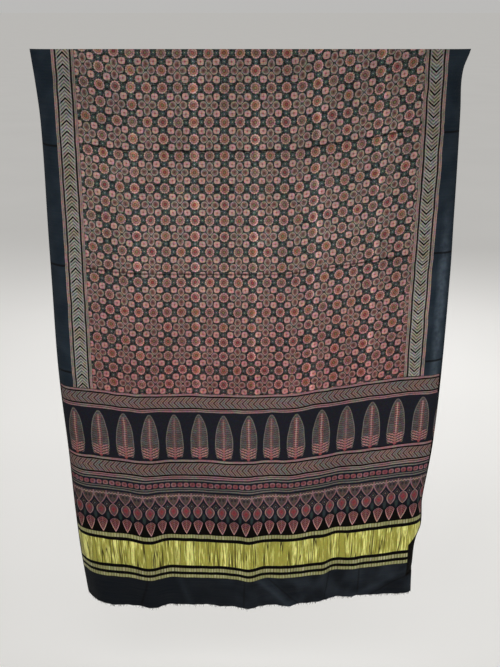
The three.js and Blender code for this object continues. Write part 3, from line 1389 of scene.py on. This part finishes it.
@dataclass(frozen=True)
class GoldWeave(ClothFinish):
    """Stripes of gold thread on black, one wide and three narrow."""

    grain: float = 0.5
    bump_strength: float = 0.7
    bump_height: float = 0.001
    starts: float = 1128.0
    roll_shade_down: float = 1182.0
    roll_shade_width: float = 38.0
    narrow: tuple[tuple[float, float], ...] = ((0.6, 10.4), (95.2, 104.6), (112.6, 121.0))
    wide: tuple[float, float] = (19.4, 86.4)
    tick: float = 7.2

    def cover(self, place: Place) -> Ink:
        """Tells where the gold lies: short of the selvedges, and shorter where the right one rolls, leaving
        painted black shade over the roll.

        Args:
            place: The place on the cloth.

        Returns:
            1 on the gold and 0 on the black.
        """
        below = place.down - self.starts
        gold = below.stripe(*self.wide, 0.8)
        for low, high in self.narrow:
            gold = gold + below.stripe(low, high, 0.8)
        # painted shade: the gold ends short where the right edge rolls back
        short = place.down.past(self.roll_shade_down, 40.0) * self.roll_shade_width
        return gold * (place.across + short).within(SELVEDGE, 2.0) * place.across.past(-SELVEDGE, 2.0)

    def printed(self, place: Place) -> Colour:
        """Weaves the gold stripes, with painted highlights and painted shade of their crinkled pleats.

        Args:
            place: The place on the cloth.

        Returns:
            The colour.
        """
        pleat, strand = place.streaks(0.07, 0.003, 1.0), place.streaks(0.42, 0.024, 2.0)
        # thin dark lines of painted shade in the crinkled pleats
        pleat_shade_lines = abs(pleat - 0.44).within(0.014, 0.02) + abs(pleat - 0.6).within(0.012, 0.02)
        slim = 1.0 - (place.down - self.starts).stripe(*self.wide, 2.0)
        _, beside = place.across.repeat(self.tick)
        ticks = abs(beside).past(2.5, 0.8) * (strand.past(0.5, 0.2) * 0.6 + 0.4)
        # painted glints on the narrow stripes
        pale = strand.past(0.6, 0.1) * 0.5
        beads = layers(Dye.NARROW_GOLD, (pale, Dye.PALE_THREAD), (ticks, Dye.GOLD_DARK))
        # darker and bright streaks: painted shade and painted highlights of the crinkle
        gold = layers(
            Dye.GOLD_SHADE,
            (strand.past(0.4, 0.2) * 0.6 + 0.4, Dye.GOLD),
            ((pleat * 0.6 + strand).past(0.88, 0.1) * 0.9, Dye.GOLD_LIGHT),
            (pleat_shade_lines, Dye.GOLD_DARK),
            (slim * 0.85, beads),
        )
        return layers(Dye.BLACK, (self.cover(place), gold))

    def surface(self, place: Place, light: Ink) -> Sockets:
        """Gives the gold its gloss and its upright crinkle.

        Args:
            place: The place on the cloth.
            light: The unevenness of the dye; not used here.

        Returns:
            Values for the shader's inputs.
        """
        gold = self.cover(place)
        height = place.streaks(0.14, 0.012, 2.0).maths("MULTIPLY_ADD", 5.0, self.threads(place) * 0.25)
        bump = height.bump(self.bump_strength, self.bump_height)
        return {"Roughness": 0.75 - gold * 0.36, "Metallic": gold * 0.55, "Normal": bump}


@dataclass(frozen=True)
class PlainCloth(ClothFinish):
    """One dye with faint bars of uneven weft, painted shade in its packing creases and painted black shade
    on the rolled edge, and a painted highlight along the right edge.
    """

    grain: float = 0.5
    gloss: float = 0.05
    dye: Dye = Dye.INDIGO
    crease_shade_downs: tuple[float, ...] = ()
    roll_shade_from: float = 470.0
    roll_shade_until: float = 1288.0
    lit_edge_from: float = 470.0
    lit_edge_wide: float = 20.0
    lit_edge_below: float = 420.0
    lit_edge_pale: float = 0.36
    barred: float = 0.03
    slants: tuple[Slant, ...] = ()
    slant_start: float = 1249.5
    slant_length: float = 79.5
    patchy: float = 0.09
    patchy_from: float = -40.0

    def printed(self, place: Place) -> Colour:
        """Dyes the cloth.

        Args:
            place: The place on the cloth.

        Returns:
            The colour.
        """
        bars = place.streaks(0.012, 0.3, 2.0).past(0.56, 0.4)
        patches = place.patches(46.0, 0.52, 0.3) * place.across.past(self.patchy_from, 300.0)
        # painted highlight along a strip of the right edge, broken into patches, lower down
        strip = place.across.stripe(self.lit_edge_from, self.lit_edge_from + self.lit_edge_wide, 12.0)
        edge_highlight_patches = place.flat.mottle(15.0, 2.0).past(0.5, 0.3) * 0.6 + 0.4
        edge_highlight = strip * place.down.past(self.lit_edge_below, 160.0) * edge_highlight_patches
        # painted shade along the packing creases
        creases = [(abs(place.down - down).within(2.2, 1.8) * 0.8, Dye.BLACK) for down in self.crease_shade_downs]
        # painted black shade over the rolled right edge of the end
        rolled = place.across.past(self.roll_shade_from, 2.0) * place.down.within(self.roll_shade_until, 6.0)
        return layers(
            self.dye,
            (bars * self.barred, Dye.GREY_GREEN),
            (patches * self.patchy, Dye.END_PALE),
            (edge_highlight * self.lit_edge_pale, Dye.END_PALE),
            *creases,
            # painted shading of the end's soft folds
            *[self.painted_fold_shading(place, slant) for slant in self.slants],
            (rolled, Dye.BLACK),
        )

    def painted_fold_shading(self, place: Place, slant: Slant) -> tuple[Ink, Dye]:
        """Paints the shading of a soft fold of the end: painted shade in a valley and a painted highlight on
        a ridge.

        Args:
            place: The place on the cloth.
            slant: The fold.

        Returns:
            How far the painted shading covers, and its colour.
        """
        lean = (slant.hem_across - slant.across) / self.slant_length
        run = (place.down - self.slant_start).maths("MULTIPLY_ADD", -lean, place.across)
        off = abs(run - slant.across)
        if slant.height < 0.0:
            return off.within(slant.reach / 6.0, slant.reach * 0.8) * 0.75, Dye.BLACK
        return off.within(0.0, slant.reach * 2.6) * (0.045 * slant.height), Dye.END_PALE


@dataclass(frozen=True)
class ThreadFinish:
    """Loose thread of one dye."""

    name: str
    dye: Dye
    roughness: float = 0.85

    def make(self) -> bpy.types.Material:
        """Makes the material.

        Returns:
            The material.
        """
        vat = Vat(self.name)
        twist = vat.node("ShaderNodeTexCoord", {}, {}, "Generated").mottle(0.002)
        colour = shaded(self.dye, twist + 0.5)
        return vat.finished({"Base Color": colour, "Roughness": self.roughness, "Sheen Weight": 0.1})


@dataclass(frozen=True)
class FloorFinish:
    """Pale, even studio floor."""

    name: str = "pale_floor"
    roughness: float = 0.9

    def make(self) -> bpy.types.Material:
        """Makes the material.

        Returns:
            The material.
        """
        vat = Vat(self.name)
        light = vat.node("ShaderNodeTexCoord", {}, {}, "Object").mottle(0.8, 2.0) * 0.06 + 0.97
        colour = shaded(Dye.FLOOR, light)
        return vat.finished({"Base Color": colour, "Roughness": self.roughness, "Specular IOR Level": 0.0})


def put(name: str, data: bpy.types.ID) -> bpy.types.Object:
    """Puts a mesh, light or camera into the scene.

    Args:
        name: The object's name.
        data: What it shows.

    Returns:
        The object.
    """
    thing = bpy.data.objects.new(name, data)
    bpy.context.scene.collection.objects.link(thing)
    return thing


@dataclass
class AjrakhCloth:
    """The printed sheet itself: one closed, thin sheet with a finish for each zone."""

    drape: Drape
    column_step: float = 5.4
    row_step: float = 5.2
    sharp_from: float = 55.0
    front_map: tuple[float, float] = (0.004, 0.604)
    back_map: tuple[float, float] = (0.976, 0.622)
    down_map: tuple[float, float] = (0.99, 0.008)

    def lines(self, borders: list[float], step: float) -> np.ndarray:
        """Divides a range into even steps between borders.

        Args:
            borders: The borders, in order.
            step: The size of a step, at most.

        Returns:
            The lines, borders included.
        """
        found = [borders[0]]
        for low, high in zip(borders, borders[1:]):
            count = math.ceil((high - low) / step)
            found.extend(low + (high - low) * (index + 1) / count for index in range(count))
        return np.array(found)

    def finishes(self) -> dict[Zone, ClothFinish]:
        """Gives each zone its finish.

        Returns:
            The finishes, by zone.
        """
        layout = self.drape.layout
        upper_deep = layout.trees_start - layout.field_end
        lower_deep = layout.dots_start - layout.trees_end
        end_fold_shading = self.drape.slants + self.drape.corner_shading_lines()
        side_crease_shade = (212.0, 472.0, 722.0)
        # where the painted edge highlight lies on the sides, and their paler patches
        side_highlight_and_patches = {"lit_edge_from": 425.0, "patchy": 0.06, "patchy_from": -900.0}
        return {
            Zone.FIELD: FieldPrint("field_print"),
            Zone.SIDE_BORDER: SideBorderPrint("side_border_print", starts=layout.field_half_width),
            Zone.PLAIN_SIDE: PlainCloth("indigo_side", crease_shade_downs=side_crease_shade, **side_highlight_and_patches),
            Zone.UPPER_CHEVRONS: BandPrint("upper_chevron_print", starts=layout.field_end, deep=upper_deep),
            Zone.TREES: TreePrint("cypress_print", starts=layout.trees_start),
            Zone.LOWER_CHEVRONS: BandPrint("lower_chevron_print", starts=layout.trees_end, deep=lower_deep),
            Zone.DOTS: DotPrint("red_dot_print", starts=layout.dots_start),
            Zone.PENDANTS: PendantPrint("pendant_print", starts=layout.pendants_start),
            Zone.GOLD: GoldWeave("gold_weave", starts=layout.gold_start),
            Zone.PLAIN_END: PlainCloth("indigo_end", dye=Dye.END_INDIGO, roll_shade_from=412.0, slants=end_fold_shading),
        }

    def strip(self, first: np.ndarray, second: np.ndarray, turned: bool = False) -> np.ndarray:
        """Joins lines of corners by faces, which are turned over if asked."""
        corners = np.stack([first[:-1], second[:-1], second[1:], first[1:]], axis=-1).reshape(-1, 4)
        return corners[:, [0, 3, 2, 1]] if turned else corners

    def faces(self, tall: int, wide: int) -> np.ndarray:
        """Lists the corners of the sheet's faces: front, back, left, right, top and hem.

        Args:
            tall: The number of rows.
            wide: The number of columns.

        Returns:
            Four corners for each face.
        """
        front = np.arange(tall * wide).reshape(tall, wide)
        back = front + tall * wide
        parts = [
            self.strip(front[:, :-1], front[:, 1:], turned=True),
            self.strip(back[:, :-1], back[:, 1:]),
            self.strip(front[:, 0], back[:, 0]),
            self.strip(front[:, -1], back[:, -1], turned=True),
            self.strip(front[0], back[0], turned=True),
            self.strip(front[-1], back[-1]),
        ]
        return np.vstack(parts)

    def bake_places(self, faces: np.ndarray, tall: int, wide: int) -> np.ndarray:
        """Lays the front, the back and the four thin edges side by side on the map for baking.

        Args:
            faces: The corners of the faces, as faces() lists them.
            tall: The number of rows.
            wide: The number of columns.

        Returns:
            Two map coordinates for each corner.
        """
        layer = tall * wide
        behind = faces >= layer
        column = (faces % layer) % wide / (wide - 1)
        row = (faces % layer) // wide / (tall - 1)
        down = self.down_map[0] + (self.down_map[1] - self.down_map[0]) * row
        front = self.front_map[0] + (self.front_map[1] - self.front_map[0]) * column
        back = self.back_map[0] + (self.back_map[1] - self.back_map[0]) * column
        across = np.where(behind, back, front)
        ends = np.cumsum([2 * (tall - 1) * (wide - 1), tall - 1, tall - 1, wide - 1, wide - 1])
        left, right, top, hem = [slice(*pair) for pair in zip(ends, ends[1:])]
        across[left] = np.where(behind[left], 0.985, 0.982)
        across[right] = np.where(behind[right], 0.992, 0.989)
        across[top], across[hem] = front[top], front[hem]
        down[top] = np.where(behind[top], 0.997, 0.994)
        down[hem] = np.where(behind[hem], 0.001, 0.004)
        return np.stack([across, down], axis=-1)

    def build(self) -> bpy.types.Object:
        """Builds and dresses the sheet.

        Returns:
            The sheet.
        """
        layout = self.drape.layout
        rows = self.lines(layout.row_borders(), self.row_step)
        columns = self.lines(layout.column_borders(), self.column_step)
        points, outward, flat = self.drape.hang(rows, columns)
        tall, wide = len(rows), len(columns)
        half = outward * (self.drape.thickness / 2.0 * MM)
        both = np.concatenate([(points + half).reshape(-1, 3), (points - half).reshape(-1, 3)])
        faces = self.faces(tall, wide)
        mesh = bpy.data.meshes.new("ajrakh_sheet")
        mesh.from_pydata(both.tolist(), [], faces.tolist())

        sides = np.repeat([1.0, -1.0], tall * wide)[:, None]
        places = np.hstack([np.tile(flat.reshape(-1, 2), (2, 1)), sides])
        mesh.attributes.new(FLAT_PLACE, "FLOAT_VECTOR", "POINT").data.foreach_set("vector", places.ravel())
        bake = mesh.uv_layers.new(name="OFBake")
        bake.data.foreach_set("uv", self.bake_places(faces, tall, wide).ravel())

        across, row = np.meshgrid(columns, rows)
        corners = faces % (tall * wide)
        zones = layout.zone_at(across.ravel()[corners].mean(axis=1), row.ravel()[corners].mean(axis=1))
        finishes = self.finishes()
        for zone in Zone:
            mesh.materials.append(finishes[zone].make())
        mesh.polygons.foreach_set("material_index", zones.astype(np.int32))
        mesh.polygons.foreach_set("use_smooth", np.ones(len(faces), dtype=bool))
        mesh.update()
        mesh.set_sharp_from_angle(angle=math.radians(self.sharp_from))
        return put("printed_sheet", mesh)


@dataclass
class HemFray:
    """Short threads that stand out of the raw hem, with a few pale ones near its right corner."""

    drape: Drape
    count: int = 420
    thread: float = 0.8
    shortest: float = 2.0
    longest: float = 7.5
    root: float = 1.2
    clear_of_edge: float = 4.0
    pale_across: tuple[float, ...] = (386.0, 391.5, 397.0)
    pale_length: float = 9.0
    seed: int = 11

    def strand(self, start: np.ndarray, lean: float, forward: float, long: float) -> np.ndarray:
        """Gives the points of one thread: two rings of three and a tip.

        Args:
            start: Where it leaves the hem, in metres.
            lean: How far its tip stands sideways, as a share of its length.
            forward: How far its tip stands forward, as a share of its length.
            long: Its length in metres.

        Returns:
            Seven points.
        """
        turns = np.arange(3) * 2.0 * math.pi / 3.0
        ring = np.stack([np.cos(turns), np.sin(turns), np.zeros(3)], axis=1) * self.thread * MM / 2.0
        root = start + np.array([0.0, 0.0, self.root * MM])
        bend = start + np.array([lean * 0.3, -forward * 0.3, -0.55]) * long
        tip = start + np.array([lean, -forward, -1.0]) * long
        return np.vstack([root + ring, bend + ring * 0.8, tip])

    def build(
        self, name: str, places: np.ndarray, lengths: np.ndarray, finish: ThreadFinish
    ) -> bpy.types.Object:
        """Builds one piece of threads.

        Args:
            name: The piece's name.
            places: Where the threads stand, as distances across.
            lengths: Their lengths in millimetres.
            finish: Their finish.

        Returns:
            The piece.
        """
        chance = np.random.default_rng(self.seed)
        reach = self.drape.layout.half_width
        fine = np.unique(np.concatenate([places, [0.0], np.linspace(-reach, reach, 200)]))
        hem, _, _ = self.drape.hang(np.array([self.drape.layout.length]), fine)
        points: list[list[float]] = []
        faces: list[tuple[int, ...]] = []
        for across, long in zip(places, lengths):
            start = hem[0, int(np.searchsorted(fine, across))]
            lean, forward = chance.normal(0.0, 0.35), chance.normal(0.0, 0.25)
            first = len(points)
            points.extend(self.strand(start, lean, forward, long * MM).tolist())
            faces.append((first, first + 1, first + 2))
            for side in range(3):
                near, after = first + side, first + (side + 1) % 3
                faces.append((near + 3, after + 3, after, near))
                faces.append((first + 6, after + 3, near + 3))
        mesh = bpy.data.meshes.new(name)
        mesh.from_pydata(points, [], faces)
        mesh.materials.append(finish.make())
        mesh.update()
        return put(name, mesh)

    def dark_threads(self) -> bpy.types.Object:
        """Builds the dark threads along the whole hem.

        Returns:
            The piece.
        """
        chance = np.random.default_rng(self.seed + 1)
        reach = self.drape.layout.half_width - self.clear_of_edge
        places = np.sort(chance.uniform(-reach, reach, self.count))
        lengths = chance.uniform(self.shortest, self.longest, self.count)
        return self.build("hem_fray", places, lengths, ThreadFinish("dark_thread", Dye.END_INDIGO))

    def pale_threads(self) -> bpy.types.Object:
        """Builds the few pale threads.

        Returns:
            The piece.
        """
        places = np.array(self.pale_across)
        lengths = self.pale_length * np.linspace(0.7, 1.0, len(places))
        return self.build("pale_thread_ends", places, lengths, ThreadFinish("pale_thread", Dye.PALE_THREAD))


@dataclass(frozen=True)
class Lamp:
    """A soft square light: its place, aim and side in metres, power in watts and spread in degrees."""

    name: str
    place: tuple[float, float, float]
    aim: tuple[float, float, float]
    size: float
    power: float
    spread: float

    def hang(self) -> None:
        """Hangs the light."""
        lamp = bpy.data.lights.new(self.name, "AREA")
        lamp.shape = "SQUARE"
        lamp.size = self.size
        lamp.energy = self.power
        lamp.spread = math.radians(self.spread)
        hung = put(self.name, lamp)
        hung.location = self.place
        hung.rotation_mode = "QUATERNION"
        hung.rotation_quaternion = (Vector(self.aim) - Vector(self.place)).to_track_quat("-Z", "Y")


@dataclass
class Studio:
    """Pale floor, soft light and the camera, in metres."""

    floor_below: float = 0.16
    floor_size: float = 900.0
    camera_back: float = 1.97
    camera_up: float = 0.076
    look_down: float = 19.2
    focal_pixels: float = 931.0
    picture_tall: float = 667.0
    sensor: float = 36.0
    sees_until: float = 2000.0
    lamps: tuple[Lamp, ...] = (
        Lamp("key_light", (0.5, -2.0, -0.85), (0.16, 0.0, -0.78), 0.9, 3.9, 58.0),
        Lamp("fill_light", (-0.9, -1.8, -0.2), (-0.2, 0.0, -0.42), 0.8, 2.3, 66.0),
        Lamp("back_light", (0.4, 2.6, 1.2), (0.0, 0.0, -0.65), 2.0, 45.0, 180.0),
    )
    room_light: float = 0.5
    room_colour: tuple[float, ...] = (1.0, 0.99, 0.97, 1.0)

    def floor(self, lowest: float) -> bpy.types.Object:
        """Lays the floor.

        Args:
            lowest: The height of the cloth's lowest point.

        Returns:
            The floor.
        """
        half = self.floor_size / 2.0
        height = lowest - self.floor_below
        corners = [(x * half, y * half, height) for x, y in ((-1, -1), (1, -1), (1, 1), (-1, 1))]
        mesh = bpy.data.meshes.new("studio_floor")
        mesh.from_pydata(corners, [], [(0, 1, 2, 3)])
        mesh.materials.append(FloorFinish().make())
        return put("studio_floor", mesh)

    def lights(self) -> None:
        """Hangs the lights and sets the even light all round."""
        for lamp in self.lamps:
            lamp.hang()
        world = bpy.data.worlds.new("soft_room")
        world.use_nodes = True
        background = world.node_tree.nodes["Background"]
        background.inputs["Color"].default_value = self.room_colour
        background.inputs["Strength"].default_value = self.room_light
        bpy.context.scene.world = world

    def camera(self) -> None:
        """Sets the camera where the photograph was taken from."""
        lens = bpy.data.cameras.new("camera")
        lens.sensor_width = self.sensor
        lens.lens = self.focal_pixels / self.picture_tall * self.sensor
        lens.clip_end = self.sees_until
        seen = put("camera", lens)
        seen.location = (0.0, -self.camera_back, self.camera_up)
        seen.rotation_euler = (math.radians(90.0 - self.look_down), 0.0, 0.0)
        bpy.context.scene.camera = seen

    def tone(self) -> None:
        """Shows colours as they are."""
        bpy.context.scene.view_settings.view_transform = "Standard"
        bpy.context.scene.view_settings.look = "None"


def main() -> None:
    """Builds the cloth, its loose threads and the studio."""
    logging.basicConfig(level=logging.INFO, format="%(message)s")
    drape = Drape()
    cloth = AjrakhCloth(drape).build()
    log.info("%s: %d faces", cloth.name, len(cloth.data.polygons))

    fray = HemFray(drape)
    threads = [fray.dark_threads(), fray.pale_threads()]
    for piece in threads:
        log.info("%s: %d faces", piece.name, len(piece.data.polygons))

    for piece in [cloth, *threads]:
        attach(piece, "root")
    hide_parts("ajrakh_cloth")
    drape.flat_area()

    studio = Studio()
    studio.floor(cad_box[0].z)
    studio.lights()
    studio.camera()
    studio.tone()
    log.info("studio: floor, lights and camera")

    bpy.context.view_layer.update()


if __name__ == "__main__":
    main()
